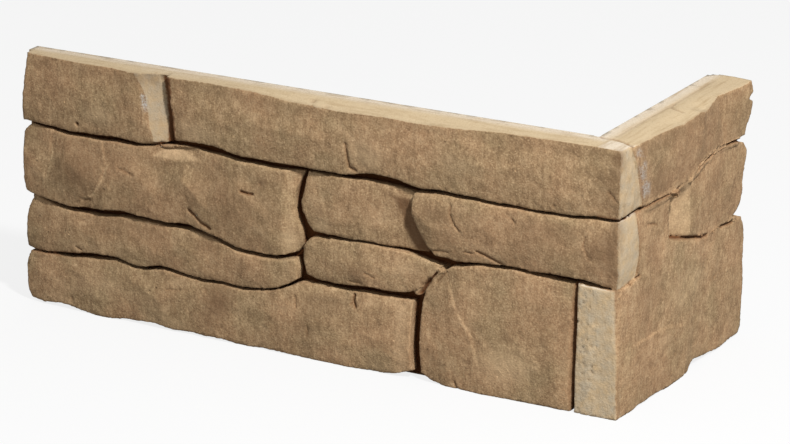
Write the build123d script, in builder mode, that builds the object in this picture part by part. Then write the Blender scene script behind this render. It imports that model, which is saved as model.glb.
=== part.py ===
"""Corner piece of split-stone wall cladding, cast in one piece.

Two legs meet at a right angle and wrap an outside wall corner. A plain cast
backing carries twelve stone faces, parted by joints that reach down to its
front. At the corner the stones are woven: two show their ends on the short
leg, and the big one below shows its end on the long leg.

Frame: the origin is on the base, on the line where the two wall planes meet.
The long leg runs along -X with its wall plane at y = 0, the short leg runs
along +Y with its wall plane at x = 0, and +Z is up.
"""

import os
from math import pi, sin

from build123d import *

# Driving dimensions, millimetres
LONG_LEG = 356.0  # wall corner to the free end of the long leg
SHORT_LEG = 135.0  # wall corner to the free end of the short leg
HEIGHT = 150.0  # height of the piece
BACKING = 9.0  # plain layer behind the stones, on both legs
LONG_FACE = 18.0  # wall plane to the mean stone face, long leg
SHORT_FACE = 24.0  # wall plane to the mean stone face, short leg
LONG_EDGE_FALL = 2.2  # how far a long-leg face falls back at its bed edges
SHORT_EDGE_FALL = 1.8  # the same on the short leg

# The pattern of stones was drawn on a piece of these sizes, and stretches to the driving ones
DRAWN_LONG_LEG = 356.0
DRAWN_SHORT_LEG = 135.0
DRAWN_HEIGHT = 150.0
DRAWN_LONG_FACE = 18.0
DRAWN_SHORT_FACE = 24.0

# Working values that follow from the driving ones
ROOTING = 0.4 * BACKING  # how far a stone runs into the backing
REACH = 2 * (LONG_LEG + SHORT_LEG)  # length of a body that only cuts, past the piece both ways

# Rows of a split face below and above its ridge: share of the way from the bed edge to the
# ridge, and share of the edge fall
FACE_ROWS = [(-0.2, 1), (0.14, 0.35), (0.5, 0)]
RIDGE_WANDER = 0.14  # how far a ridge strays from the middle of its stone, as a share of the height
RIDGE_WAVE = 37.0  # millimetres along the leg in which it strays there and back
BREAK_LEAN = 3.5  # how far a break across the face leans from upright, millimetres at its ends
LEAN_WAVE = 61.0  # millimetres along the leg in which the breaks lean there and back
EDGE_RUN = 6.5  # about how long the straight runs of a broken edge are
EDGE_CHIP = 0.3  # how far the corners between those runs stray from the drawn curve
CHIP_WAVE = 23.0  # millimetres along the leg in which they stray there and back

# The two faces as drawing planes: first along the leg, then up, with the normal out of the wall
LONG_SIDE = Plane(origin=(0, 0, 0), x_dir=(1, 0, 0), z_dir=(0, -1, 0))
SHORT_SIDE = Plane(origin=(0, 0, 0), x_dir=(0, 1, 0), z_dir=(1, 0, 0))


def on_long(along, up):
    """A drawn point of the long face, stretched to the piece."""
    stretch = LONG_LEG / DRAWN_LONG_LEG if along < 0 else SHORT_FACE / DRAWN_SHORT_FACE
    return (along * stretch, up * HEIGHT / DRAWN_HEIGHT)


def on_short(along, up):
    """A drawn point of the short face, stretched to the piece."""
    stretch = LONG_FACE / DRAWN_LONG_FACE if along < 0 else SHORT_LEG / DRAWN_SHORT_LEG
    return (along * stretch, up * HEIGHT / DRAWN_HEIGHT)


def placing(side):
    """The stretch that goes with a drawing plane."""
    return on_long if side is LONG_SIDE else on_short


def mean_face(side):
    """Wall plane to the mean stone face on that side."""
    return LONG_FACE if side is LONG_SIDE else SHORT_FACE


def edge_fall(side):
    """Fall of a face at its bed edges on that side."""
    return LONG_EDGE_FALL if side is LONG_SIDE else SHORT_EDGE_FALL


def outline(side, out, edges):
    """A closed outline at a distance out of the wall plane.

    Each edge runs through its own points and ends at the next edge's first point. An edge
    with points on its way is a broken one: short straight runs that follow a curve.
    """
    place = placing(side)
    with BuildSketch(side.offset(out)) as profile:
        with BuildLine():
            corners = []
            for edge, following in zip(edges, edges[1:] + edges[:1]):
                points = [place(*point) for point in [*edge, following[0]]]
                corners.append(points[0])
                if len(points) > 2:
                    curve = Spline(*points, mode=Mode.PRIVATE)
                    runs = round(curve.length / EDGE_RUN)
                    on_curve = [curve @ (run / runs) for run in range(1, runs)]
                    corners += [(at.X, at.Y + wander(EDGE_CHIP, CHIP_WAVE, at.X)) for at in on_curve]
            Polyline(*corners, close=True)
        make_face()
    return profile.sketch


def wander(reach, wave, along):
    """A slow swing along the leg, by which ridges stray and breaks lean."""
    return reach * sin(2 * pi * along / wave)


def section(side, low, high, station):
    """The section of a stone across the leg, from far behind the wall plane to its split face."""
    along, lower, middle, upper = station
    place = placing(side)
    lean = wander(BREAK_LEAN, LEAN_WAVE, along)
    foot = side.from_local_coords((*place(along - lean, low), 0))
    head = side.from_local_coords((*place(along + lean, high), 0))
    rise = (head - foot).length
    ridge = rise * (0.5 + wander(RIDGE_WANDER, RIDGE_WAVE, along))
    out = mean_face(side)
    fall = edge_fall(side)
    below = [(out + lower - drop * fall, share * ridge) for share, drop in FACE_ROWS]
    above = [(out + upper - drop * fall, rise + share * (ridge - rise)) for share, drop in FACE_ROWS[::-1]]
    with BuildSketch(Plane(foot, x_dir=side.z_dir, z_dir=side.z_dir.cross(head - foot))) as cut:
        with BuildLine():
            far_below = (-REACH, below[0][1])
            far_above = (-REACH, above[-1][1])
            Polyline(far_below, *below, (out + middle, ridge), *above, far_above, close=True)
        make_face()
    return cut.sketch


def behind_split_face(side, low, high, stations):
    """All that lies behind a split face, which runs between the heights low and high.

    Each station gives its place along the leg and how far the lower, middle and upper
    part of the face stand before the mean face there.
    """
    cuts = [section(side, low, high, station) for station in stations]
    with BuildPart() as body:
        add([loft(pair, ruled=True, mode=Mode.PRIVATE) for pair in zip(cuts, cuts[1:])])
    return body.part


def flank_point(side, along, up, relief):
    """A point of a flank, its relief counted from the mean face."""
    across, rise = placing(side)(along, up)
    return side.from_local_coords((across, rise, mean_face(side) + relief))


def stone(side, low, high, stations, *edges, flank=None):
    """A stone that shows on one leg only, with a flank split off through three points if given."""
    with BuildPart() as block:
        extrude(outline(side, BACKING - ROOTING, list(edges)), amount=REACH)
        add(behind_split_face(side, low, high, stations), mode=Mode.INTERSECT)
        if flank:
            foot, head, back = [flank_point(side, *point) for point in flank]
            across = (head - foot).cross(back - foot)
            split(bisect_by=Plane(foot, x_dir=head - foot, z_dir=across), keep=Keep.TOP)
    return block.part


def woven_stone(low, high, long_stations, short_stations, long_edges, short_edges):
    """A stone that turns the corner: its face on one leg, its end on the other."""
    with BuildPart() as block:
        extrude(outline(LONG_SIDE, 0, long_edges), amount=REACH, both=True)
        extrude(outline(SHORT_SIDE, 0, short_edges), amount=REACH, both=True, mode=Mode.INTERSECT)
        add(behind_split_face(LONG_SIDE, low, high, long_stations), mode=Mode.INTERSECT)
        add(behind_split_face(SHORT_SIDE, low, high, short_stations), mode=Mode.INTERSECT)
        # Nothing stands behind the two wall planes
        with BuildSketch(Plane.XY):
            Rectangle(REACH, REACH, align=(Align.MAX, Align.MIN))
        extrude(amount=REACH, both=True, mode=Mode.SUBTRACT)
    return block.part


# Top course, from the free end of the long leg

top_left = stone(
    LONG_SIDE, 110, 150,
    [(-375, -4.5, -4, -4), (-357, -3, -2.5, -2.5), (-345, -1.4, -1, -1.6), (-328, 0.2, 0.4, -0.8),
     (-312, 0.4, 1.1, 0.2), (-298, 1.2, 0.9, -0.4), (-284, 0.9, 1.2, 0.3), (-270, 0.4, 0.6, 0),
     (-255, 0, 0, 0)],
    [(-359, 110.5), (-347, 110.6), (-330, 109.5), (-300, 110), (-272, 109.8)],
    [(-259, 112.5), (-258.7, 125), (-260, 140)],
    [(-260.5, 150)],
    [(-354, 150), (-356, 131), (-358, 120)],
    flank=((-268.5, 112, 0), (-279.5, 147, 0), (-260, 130, -9)),
)

top_long = woven_stone(
    111, 150,
    [(-275, -5, -4.5, -5), (-256, -2.6, -2, -2.6), (-242, -0.6, -0.4, -1.2), (-225, 0.6, 0.8, -0.6),
     (-205, 1.2, 1.4, -0.2), (-185, 1.4, 1.9, 0.2), (-165, 1.5, 2.3, 0.4), (-149, 0.9, 1.4, 0.8),
     (-138, 0.4, 0.9, 1), (-120, 1.6, 1.7, 0.9), (-98, 2.4, 2.2, 1.6), (-72, 2.2, 3, 2.8),
     (-52, 1.8, 2, 0.6), (-30, 1.2, 1.7, 0.8), (-8, 1.8, 1.2, 0.4), (12, 1.4, 1, 0.3), (40, 1, 0.8, 0)],
    [(-40, -1.8, -1.6, -1.4), (-18, -1.7, -1.8, -1.5), (-8, -1.3, -1.6, -1.6), (4, -1.6, -1.2, -1.4),
     (20, -1.6, -1.2, -1)],
    [
        [(-256, 113.5), (-245, 114.5), (-233, 115.2), (-215, 112.6), (-192, 112), (-165, 111.4),
         (-143, 111.8), (-118, 115), (-104, 112.4), (-85, 112), (-55, 110.9), (-14, 110.7), (8, 112)],
        [(40, 113.5)],
        [(40, 150)],
        [(-258.2, 150), (-256.5, 132)],
    ],
    [
        [(-40, 105)],
        [(7, 105), (8, 114), (5, 126), (1, 137)],
        [(-4.5, 150)],
        [(-40, 150)],
    ],
)

top_short = stone(
    SHORT_SIDE, 113, 150,
    [(-30, -0.4, -0.6, -0.4), (-6, -0.5, -0.4, -0.2), (8, 0.2, 0.6, 0.6), (22, 0.8, 1.4, 1.2),
     (38, 1.6, 2.4, 2.2), (55, 1.4, 2.6, 2.8), (71, 2, 3, 3.4), (83, 1.2, 2, 1.8), (94, 0.6, 1.2, 0.6),
     (104, 0.4, 0, -0.8), (112, 1, 0.8, 0.4), (124, 1.6, 2.2, 2.4), (150, 1, 2, 2.4)],
    [(5, 112.9), (24, 112.6), (46, 112.9), (57, 113.4), (67, 116.4), (76, 119.6), (90, 120.8),
     (108, 121.3), (120, 120.2)],
    [(132, 119), (133.5, 126), (137, 132), (137.6, 136.5)],
    [(132, 140.5), (134, 142)],
    [(137.8, 143)],
    [(136.8, 150)],
    [(-7.5, 150), (-3.5, 139), (0, 132), (3, 123)],
)

# Second course

second_left = stone(
    LONG_SIDE, 60, 110,
    [(-378, -5, -5, -6), (-358, -2.8, -2.6, -4), (-343, -0.2, 0.2, -2), (-328, 1, 1.2, -0.8),
     (-312, 1.8, 1.6, -0.4), (-301, 3, 3, 0.6), (-285, 2.2, 2.4, 0.2), (-266, 2.4, 2.4, -0.8),
     (-248, 1.8, 2.8, -1.4), (-232, 2.6, 3.2, -0.6), (-212, 3.4, 3.2, 0.8), (-194, 2.8, 3, 1.2),
     (-184, 1.8, 2, 0.2), (-175, -1.4, -1.6, -2.6), (-160, -8, -8, -8)],
    [(-356.5, 68.2), (-340, 65.3), (-325, 64.5), (-308, 66.2), (-290, 67), (-262, 65.6), (-245, 66.2),
     (-228, 62.5), (-215, 58.8), (-200, 57.6), (-186, 58.4)],
    [(-175.5, 60.8), (-171.5, 67), (-172.3, 72), (-175, 84), (-173.5, 101)],
    [(-171, 108.5), (-190, 108.6), (-213, 109.1), (-235, 111), (-262, 110.6), (-275, 107.7), (-310, 107),
     (-328, 106.9), (-345, 108.5)],
    [(-353, 109.5), (-359, 101), (-360, 88), (-358.5, 75)],
)

second_middle = stone(
    LONG_SIDE, 75, 111,
    [(-185, -3.5, -3.5, -3.5), (-168, -1.4, -1.2, -1.8), (-152, 0.2, 0, -0.6), (-134, 0.6, 0.4, -0.4),
     (-118, -0.8, -1.2, -0.8), (-105, -2.4, -3.2, -1.6), (-85, -2.8, -3.6, -2)],
    [(-165, 74.7), (-145, 75.5), (-125, 75.5), (-103, 75.4)],
    [(-94, 75.5)],
    [(-94, 108.2), (-106, 108.3), (-113, 109.3), (-135, 109.6), (-155, 109.2)],
    [(-168.5, 109.2), (-171, 93), (-169.8, 81)],
)

second_corner = woven_stone(
    75, 110,
    [(-120, -2, 1.6, 1), (-100, 0.8, 3, 1.8), (-90, 1.8, 3.2, 2.4), (-76, 2, 2.6, 1.8),
     (-60, 1.2, 2.6, 2), (-44, 1.8, 2.2, 1.2), (-26, 2.6, 3, 1.8), (-8, 2.2, 2.4, 1.6), (3, 1.6, 1.8, 1),
     (14, 2.4, 2.2, 1.6), (40, 2, 2, 2)],
    [(-40, -1.2, -1.6, -1.8), (-18, -1, -1.2, -1.7), (-6, -1.4, -1, -1.4), (6, -1, -1.2, -1),
     (20, -1, -1, -1)],
    [
        [(-88, 74.8), (-65, 74.2), (-50, 76), (-30, 76.2), (-5, 76.4), (8, 75.4)],
        [(40, 74.2)],
        [(40, 112), (8, 110.5), (-12, 108.9), (-45, 108.9), (-57, 109.2), (-75, 109.8)],
        [(-101, 108.4), (-102.5, 100), (-100, 92), (-95, 82)],
    ],
    [
        [(-40, 70)],
        [(6, 70)],
        [(6, 115)],
        [(-40, 115)],
    ],
)

second_short = stone(
    SHORT_SIDE, 73, 118,
    [(20, -6, -6, -6), (48, -0.4, -0.6, -0.8), (62, 0.6, 0.4, 0), (78, 0.8, 1.2, 0.4), (94, 1, 1, 1.2),
     (110, 0.8, 1.4, 0.6), (126, 0.2, 0.8, 0.4), (150, -0.6, -0.2, 0)],
    [(38.5, 87.2), (50, 83.6), (64, 80.2), (78, 76.6), (92, 74.2), (104, 74.8), (117, 73.2)],
    [(126, 75.5), (130, 79.5), (132.5, 84), (131.5, 92), (133, 99), (136, 107)],
    [(132.5, 114.5), (123, 118), (108, 119.3), (88, 118.8), (77, 118), (68, 115.8), (56, 112.9)],
    [(42.5, 111.8), (40.5, 99)],
    flank=((64, 113, 0.4), (63, 80, 0.6), (41, 98, -10)),
)

# Third course

third_left = stone(
    LONG_SIDE, 34, 64,
    [(-378, -4.5, -4.5, -5), (-358, -3, -2.6, -3), (-343, -0.6, -0.6, -1.2), (-325, 0.6, 0.8, 0),
     (-305, 0.8, 1.6, 0.8), (-286, 1.6, 1.2, 0.2), (-268, 0.6, 1.4, 0.8), (-250, 1.4, 2, 0.6),
     (-232, 1.6, 1.4, 0.4), (-214, 1.2, 2.2, 1.6), (-195, 2, 2.2, 1.8), (-180, 1.2, 1.4, 1),
     (-160, -2, -2, -2)],
    [(-357.5, 33.6), (-345, 33.2), (-321, 36.6), (-295, 38.4), (-277, 36), (-263, 38.6), (-250, 36.9),
     (-225, 36.3), (-208, 35.9), (-195, 38), (-184, 41.2)],
    [(-175, 46), (-174, 53)],
    [(-175.8, 57.6), (-190, 55.2), (-202, 55), (-220, 57.6), (-235, 61.4), (-260, 62.7), (-280, 63.4),
     (-300, 62.5), (-320, 61.6), (-340, 63)],
    [(-352.5, 66.5), (-356, 55), (-357.5, 42)],
)

third_middle = stone(
    LONG_SIDE, 48, 75,
    [(-185, -3, -3, -3), (-168, -1, -1, -1), (-150, 0.6, 0.8, 0), (-132, 1.4, 1, 0.2),
     (-114, 0.4, 0.8, -0.2), (-98, -0.8, -0.4, -0.6), (-80, -3, -3, -2)],
    [(-169.5, 50), (-155, 48.2), (-130, 50.4), (-118, 50.4), (-106, 50.8)],
    [(-101, 52), (-95, 56.4), (-91.4, 61)],
    [(-87.4, 65.8)],
    [(-84.5, 69), (-90, 71), (-97, 72.6), (-110, 73.8), (-140, 74), (-152, 73.2)],
    [(-167, 71.3), (-171, 64), (-171, 57)],
)

# Bottom course

bottom_left = stone(
    LONG_SIDE, 2, 42,
    [(-378, -5, -5, -5), (-358, -3.4, -3, -3.4), (-344, -1, -0.6, -1.4), (-326, 0.2, 0.8, -0.2),
     (-306, 1.4, 1.2, 0.4), (-286, 0.6, 1.6, 0.2), (-266, 1.6, 2.2, 0.8), (-246, 1.4, 1.6, 0.4),
     (-226, 2.2, 1.8, 0.6), (-206, 1, 1.6, 0.8), (-186, 1.8, 2.4, 1.8), (-166, 1.4, 2, 1.6),
     (-146, 2, 1.6, 0.8), (-128, 0.8, 1.8, 1.4), (-112, 1.4, 1.2, 0.8), (-90, -0.6, -0.2, 0)],
    [(-355, 3.8), (-345, 3.2), (-330, 4.4), (-318, 2.2), (-297, 2), (-275, 4), (-250, 2.7), (-227, 3),
     (-212, 1.6), (-190, 2.6), (-174, 1.3), (-142, 1.2), (-120, 2.2), (-108, 4.2)],
    [(-101.5, 6), (-103, 20), (-101.7, 40)],
    [(-101.5, 48.5), (-115, 46.4), (-138, 45.8), (-157, 44.9), (-172, 44.6), (-184, 39.6), (-195, 36.3),
     (-208, 34.2), (-225, 34.4), (-250, 34.8), (-265, 36.5), (-277, 34.1), (-293, 36.2), (-312, 34.8),
     (-333, 33)],
    [(-355, 31.8), (-359, 20), (-359, 9)],
)

bottom_middle = stone(
    LONG_SIDE, 1, 74,
    [(-115, -3, -3, -3), (-95, 0.2, -0.2, -0.6), (-84, 1.2, 1, 0.6), (-72, 1.6, 2.6, 2),
     (-58, 2.6, 2.4, 1.4), (-44, 2.2, 1.6, 2), (-30, 1.6, 2.2, 1.6), (-16, 1.8, 1.6, 1),
     (-4, 0.8, 1, 0.4), (15, 0, 0.4, 0)],
    [(-96.5, 6), (-92, 3.6), (-80, 1.2), (-60, 0.6), (-45, 0.6), (-33, 1.4), (-18, 0.8)],
    [(-6.8, 1), (-5.5, 20), (-4.4, 45), (-4.6, 64)],
    [(-2.5, 73.2), (-20, 73.4), (-32, 74.5), (-45, 74.5), (-60, 73)],
    [(-71, 71.2), (-79, 69.6)],
    [(-85.2, 65.2), (-90, 59.4)],
    [(-94, 54), (-96.4, 40), (-97.2, 20)],
)

bottom_corner = woven_stone(
    0, 112,
    [(-15, 1.4, 1.2, 0.8), (-3, 1.6, 1.6, 1), (6, 2.2, 1.8, 1.2), (14, 1.4, 2, 1.6), (22, 1.2, 1.6, 1.6),
     (40, 1, 1.4, 1.6)],
    [(-40, -1.6, -1.6, -1.2), (-18, -1.4, -1.2, -1), (-4, -0.4, -0.8, -0.6), (12, 0.4, 0, -0.2),
     (28, 0.6, 0.8, 0.2), (46, 1.6, 1, 0.4), (62, 1.4, 1.4, 0.6), (76, 0.2, 0.8, 0.6), (90, 0, -0.4, 0.2),
     (104, 0.6, 0, 0), (120, 0.6, 0.4, 0.2), (155, -1, -0.8, -1)],
    [
        [(-5.2, -5), (-4.4, 20), (-3, 45), (-3.3, 66)],
        [(1, 125)],
        [(60, 125)],
        [(60, -5)],
    ],
    [
        [(-40, 0.8), (-20, 0.9), (0, 1.5), (20, 2.8), (44, 1), (56, 0.8)],
        [(65, 0.9), (70, 4.3), (89, 4.2), (119, 2.8)],
        [(134, 2.8), (138.5, 6), (139.2, 14), (137.8, 30), (136.3, 46), (136.8, 55), (135, 65)],
        [(131, 71.8), (117, 72.2), (104, 73.8), (92, 73.2), (78, 75.6), (64, 79.2), (50, 82.6)],
        [(37.5, 86), (38.5, 97)],
        [(40.5, 111.4), (25, 111.2), (12, 111.6)],
        [(3.5, 111), (2, 103), (3.6, 95), (3.8, 88), (1.8, 80)],
        [(0, 74.4), (-12, 73.4), (-28, 73)],
        [(-40, 72.6)],
    ],
)

# The whole piece

with BuildPart() as corner_piece:
    with BuildSketch(Plane.XY):
        with BuildLine():
            Polyline(
                (0, 0), (-LONG_LEG, 0), (-LONG_LEG, -BACKING), (BACKING, -BACKING), (BACKING, SHORT_LEG),
                (0, SHORT_LEG), close=True,
            )
        make_face()
    extrude(amount=HEIGHT)
    add([
        top_left, top_long, top_short, second_left, second_middle, second_corner, second_short, third_left,
        third_middle, bottom_left, bottom_middle, bottom_corner,
    ])

corner_piece.part.label = "corner_stone"
os.makedirs("parts", exist_ok=True)
export_step(corner_piece.part, "parts/corner_stone.step")
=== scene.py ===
"""Dresses a cast corner piece of split-stone wall cladding.

The CAD solid gives the piece its courses, joints, ends and flat backs. Here a fine mesh is cast
from it, its split faces are broken further by noise, cracks, scars and pits, and one material
lays the brown stain over the bare sand-coloured casting.
"""

import logging
import math
from dataclasses import dataclass
from dataclasses import field
from enum import Enum

import bpy
import numpy as np
from mathutils import Matrix
from mathutils import Vector

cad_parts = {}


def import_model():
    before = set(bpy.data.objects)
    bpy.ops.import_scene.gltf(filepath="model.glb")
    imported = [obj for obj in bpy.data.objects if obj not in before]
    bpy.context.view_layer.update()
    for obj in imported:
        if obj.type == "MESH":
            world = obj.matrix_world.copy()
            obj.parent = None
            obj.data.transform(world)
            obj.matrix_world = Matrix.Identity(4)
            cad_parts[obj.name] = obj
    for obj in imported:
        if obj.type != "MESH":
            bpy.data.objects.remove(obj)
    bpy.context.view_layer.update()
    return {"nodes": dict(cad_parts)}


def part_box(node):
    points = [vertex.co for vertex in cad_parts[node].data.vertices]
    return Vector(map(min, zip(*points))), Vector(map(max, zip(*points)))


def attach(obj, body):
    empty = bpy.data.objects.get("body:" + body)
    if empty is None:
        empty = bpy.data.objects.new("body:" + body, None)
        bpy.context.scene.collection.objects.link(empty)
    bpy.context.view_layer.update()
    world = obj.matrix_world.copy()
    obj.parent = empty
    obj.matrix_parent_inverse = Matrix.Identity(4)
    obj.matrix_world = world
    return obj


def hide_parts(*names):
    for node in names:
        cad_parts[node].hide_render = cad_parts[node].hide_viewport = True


LOG = logging.getLogger("cast_stone_corner")
MM = 0.001
NODE = "corner_stone"
Line = tuple[tuple[float, float], ...]
Socket = bpy.types.NodeSocket


class Side(Enum):
    """A side that marks are drawn on: its two axes in the drawing, its outward axis and its sign."""

    LONG = (0, 2, 1, -1.0)
    SHORT = (1, 2, 0, 1.0)
    TOP = (0, 1, 2, 1.0)

    def drawn(self, points: np.ndarray) -> np.ndarray:
        """Places on the side's drawing, in millimetres."""
        return points[:, self.value[:2]]

    def out(self, points: np.ndarray) -> np.ndarray:
        """Distance out of the plane through the origin, in millimetres."""
        return points[:, self.value[2]] * self.value[3]

    def facing(self, normals: np.ndarray) -> np.ndarray:
        """How squarely each normal faces out of this side."""
        return normals[:, self.value[2]] * self.value[3]

    def sink(self, points: np.ndarray, chosen: np.ndarray, amount: np.ndarray) -> None:
        """Move the chosen points into the side, in place, by an amount in millimetres."""
        points[chosen, self.value[2]] -= self.value[3] * amount


LONG, SHORT, TOP = Side


def linear(code: str) -> tuple[float, float, float, float]:
    """Turn an sRGB hex colour to linear light.

    Args:
        code: Six hex digits.

    Returns:
        Red, green, blue and alpha.
    """
    channels = [int(code[i : i + 2], 16) / 255 for i in (0, 2, 4)]
    red, green, blue = [c / 12.92 if c <= 0.04045 else ((c + 0.055) / 1.055) ** 2.4 for c in channels]
    return (red, green, blue, 1.0)


def smooth_step(low: float, high: float, values: np.ndarray) -> np.ndarray:
    """Ease from 0 at low to 1 at high. Low may lie above high.

    Args:
        low: Where the result is 0.
        high: Where the result is 1.
        values: Numbers to ease.

    Returns:
        Numbers from 0 to 1.
    """
    share = np.clip((values - low) / (high - low), 0.0, 1.0)
    return share * share * (3 - 2 * share)


def read_off(table: Line, at: np.ndarray) -> np.ndarray:
    """Read a table of places and values between its rows.

    Args:
        table: Rows of a place and its value, with rising places.
        at: Places to read at.

    Returns:
        The values there.
    """
    return np.interp(at, *zip(*table))


def bell(distance: np.ndarray, width: float) -> np.ndarray:
    """Ease from 1 at no distance to nearly 0 at twice the width."""
    return np.exp(-((distance / width) ** 2))


def add_node(
    tree: bpy.types.NodeTree,
    kind: str,
    settings: dict[str, object] | None = None,
    inputs: dict[int | str, object] | None = None,
) -> bpy.types.Node:
    """Add a node with its settings, and its inputs as values or links.

    Args:
        tree: The node tree.
        kind: The node's type name.
        settings: Attributes to set on the node.
        inputs: A value or an output socket for each input name or number.

    Returns:
        The new node.
    """
    node = tree.nodes.new(kind)
    for name, value in (settings or {}).items():
        setattr(node, name, value)
    for key, value in (inputs or {}).items():
        if isinstance(value, Socket):
            tree.links.new(value, node.inputs[key])
        else:
            node.inputs[key].default_value = value
    return node


def placed(name: str, data: bpy.types.ID) -> bpy.types.Object:
    """Put a new object with its data into the scene."""
    item = bpy.data.objects.new(name, data)
    bpy.context.scene.collection.objects.link(item)
    return item


def maths(tree: bpy.types.NodeTree, operation: str, *values: object, kind: str = "Math") -> Socket:
    """Add a node that combines numbers or vectors.

    Args:
        tree: The node tree.
        operation: The operation's name.
        values: Its operands, each a plain value or an output socket.
        kind: Math for numbers, VectorMath for vectors.

    Returns:
        The result's socket.
    """
    return add_node(tree, f"ShaderNode{kind}", {"operation": operation}, dict(enumerate(values))).outputs[0]


def noise(tree: bpy.types.NodeTree, place: Socket, seed: object, scale: object, layers: float, rough: float) -> Socket:
    """Add a noise from 0 to 1 about.

    Args:
        tree: The node tree.
        place: Where the noise is read.
        seed: Value or socket that tells two noises apart.
        scale: Number of forms per metre, as a value or a socket.
        layers: Number of finer layers.
        rough: Strength of the finer layers.

    Returns:
        The noise's socket.
    """
    values = {"Vector": place, "W": seed, "Scale": scale, "Detail": layers, "Roughness": rough}
    return add_node(tree, "ShaderNodeTexNoise", {"noise_dimensions": "4D"}, values).outputs[0]


@dataclass(frozen=True)
class Crack:
    """A hairline crack that the faces show, as a line on one side in millimetres."""

    side: Side
    line: Line
    width: float
    depth: float

    @property
    def darkness(self) -> float:
        """How dark it looks: at 2 mm depth, fully."""
        return min(1.0, self.depth / 2.0)


@dataclass(frozen=True)
class Scar:
    """The rim of a split-off flake: the face steps down on the right of the line and runs out."""

    side: Side
    line: Line
    drop: float
    reach: float


@dataclass(frozen=True)
class Pit:
    """A small hole that an air bubble left in the casting."""

    side: Side
    along: float
    up: float
    radius: float
    depth: float


@dataclass(frozen=True)
class Ledge:
    """A strip below a joint that leans back: places along and up, and the strip's height there."""

    side: Side
    line: tuple[tuple[float, float, float], ...]
    lean: float = 0.36
    end: tuple[float, float] = (112.0, 111.2)


@dataclass(frozen=True)
class Patch:
    """A field of a side, by its outline in millimetres: how strong it is and how soft its edge."""

    side: Side
    outline: Line
    strength: float
    soft_edge: float
    least_out: float = 12.0


def spot(side: Side, along: float, up: float, reach_along: float, reach_up: float, strength: float) -> Patch:
    """A soft round field.

    Args:
        side: The side that it lies on.
        along: Place of its middle along the side, in millimetres.
        up: Height of its middle.
        reach_along: Half its width.
        reach_up: Half its height.
        strength: How strong it is.

    Returns:
        The field, as an eight-sided patch with a soft edge.
    """
    turns = [math.tau * (i + 0.5) / 8 for i in range(8)]
    core, soft = 0.6, 0.55
    outline = tuple((along + core * reach_along * math.cos(t), up + core * reach_up * math.sin(t)) for t in turns)
    return Patch(side, outline, strength, soft * min(reach_along, reach_up))


def stroke(side: Side, line: Line, width: float, strength: float) -> Patch:
    """A soft line.

    Args:
        side: The side that it lies on.
        line: Its points, in millimetres.
        width: How far it fades out on either hand.
        strength: How strong it is in its middle.

    Returns:
        The line, as a patch without a field of its own.
    """
    return Patch(side, line + line[-2:0:-1], 2 * strength, width)


@dataclass(frozen=True)
class Nudge:
    """A joint of the long side that lies elsewhere than drawn: its line, and its move along and up."""

    line: Line
    along: float
    up: float
    reach: float = 7.0


@dataclass(frozen=True)
class Web:
    """A joint that the mould left nearly closed: its line, how deep it still is, and how it runs out."""

    side: Side
    line: Line
    depth: float
    reach: float = 3.6
    fade: float = 1.4


CRACKS = (
    Crack(LONG, ((-144, 129), (-143, 121), (-142, 116), (-138, 114.4)), 0.75, 1.2),
    Crack(LONG, ((-245, 75), (-241, 72.5), (-236, 68.5), (-231, 66.5)), 0.8, 1.8),
    Crack(LONG, ((-210, 91.8), (-206, 91), (-203, 91)), 0.6, 1.8),
    Crack(LONG, ((-139, 43.5), (-139.4, 39.5), (-138, 36)), 0.7, 1.8),
    Crack(LONG, ((-139.2, 40.5), (-141, 37.2)), 0.55, 1.2),
    Crack(LONG, ((-323, 40), (-319.5, 38.6)), 0.6, 0.8),
    Crack(LONG, ((-321, 56.8), (-317, 57)), 0.6, 0.7),
    Crack(LONG, ((-319, 70), (-312, 70.4)), 0.6, 0.6),
    Crack(LONG, ((-292, 92), (-287, 91.4), (-282, 89.6)), 0.7, 0.7),
    Crack(LONG, ((-78.6, 105), (-78.8, 100), (-76, 94.5), (-72.5, 91)), 0.55, 0.7),
    Crack(LONG, ((-43, 104), (-40, 101)), 0.55, 0.6),
    Crack(LONG, ((-62.5, 81), (-55, 79), (-47.5, 76.6)), 0.7, 1.3),
    Crack(LONG, ((-91, 77.6), (-86, 77.6), (-80, 77.6)), 0.5, 0.7),
    Crack(LONG, ((-70, 79.6), (-64, 79.4)), 0.5, 0.6),
    Crack(LONG, ((-83.4, 65), (-85.4, 62), (-87, 59.6)), 0.45, 0.6),
    Crack(LONG, ((-76, 5), (-73.5, 0)), 0.7, 1.0),
    Crack(LONG, ((-132, 57.6), (-126, 55.8)), 0.5, 0.6),
    Crack(LONG, ((-142, 51.8), (-134, 51.4)), 0.5, 0.6),
    Crack(LONG, ((-81, 66.6), (-84.5, 62), (-87, 59.5)), 0.55, 0.8),
    Crack(LONG, ((2.2, 100), (1, 95), (2.8, 91), (4.6, 88)), 0.55, 0.6),
    Crack(LONG, ((15.5, 126.6), (20, 122)), 0.6, 0.7),
    Crack(LONG, ((-176, 36), (-175.4, 30)), 0.7, 0.6),
    Crack(LONG, ((-168, 20), (-168.4, 14)), 0.6, 0.6),
    Crack(LONG, ((-261, 25), (-252, 26.6)), 0.6, 0.5),
    Crack(SHORT, ((13, 101), (18, 100.2), (23, 98.6)), 0.6, 1.0),
    Crack(TOP, ((-2, 1), (3, -1.4), (8, -1), (13, -2), (19, -4.5), (25, -7), (30, -12)), 0.9, 1.3),
    Crack(TOP, ((8, 4), (7.6, 40), (8.2, 80), (8, 126)), 0.9, 0.35),
    Crack(TOP, ((8.4, 74), (9, 68), (14, 64.5), (18, 64)), 0.9, 0.8),
)

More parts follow.
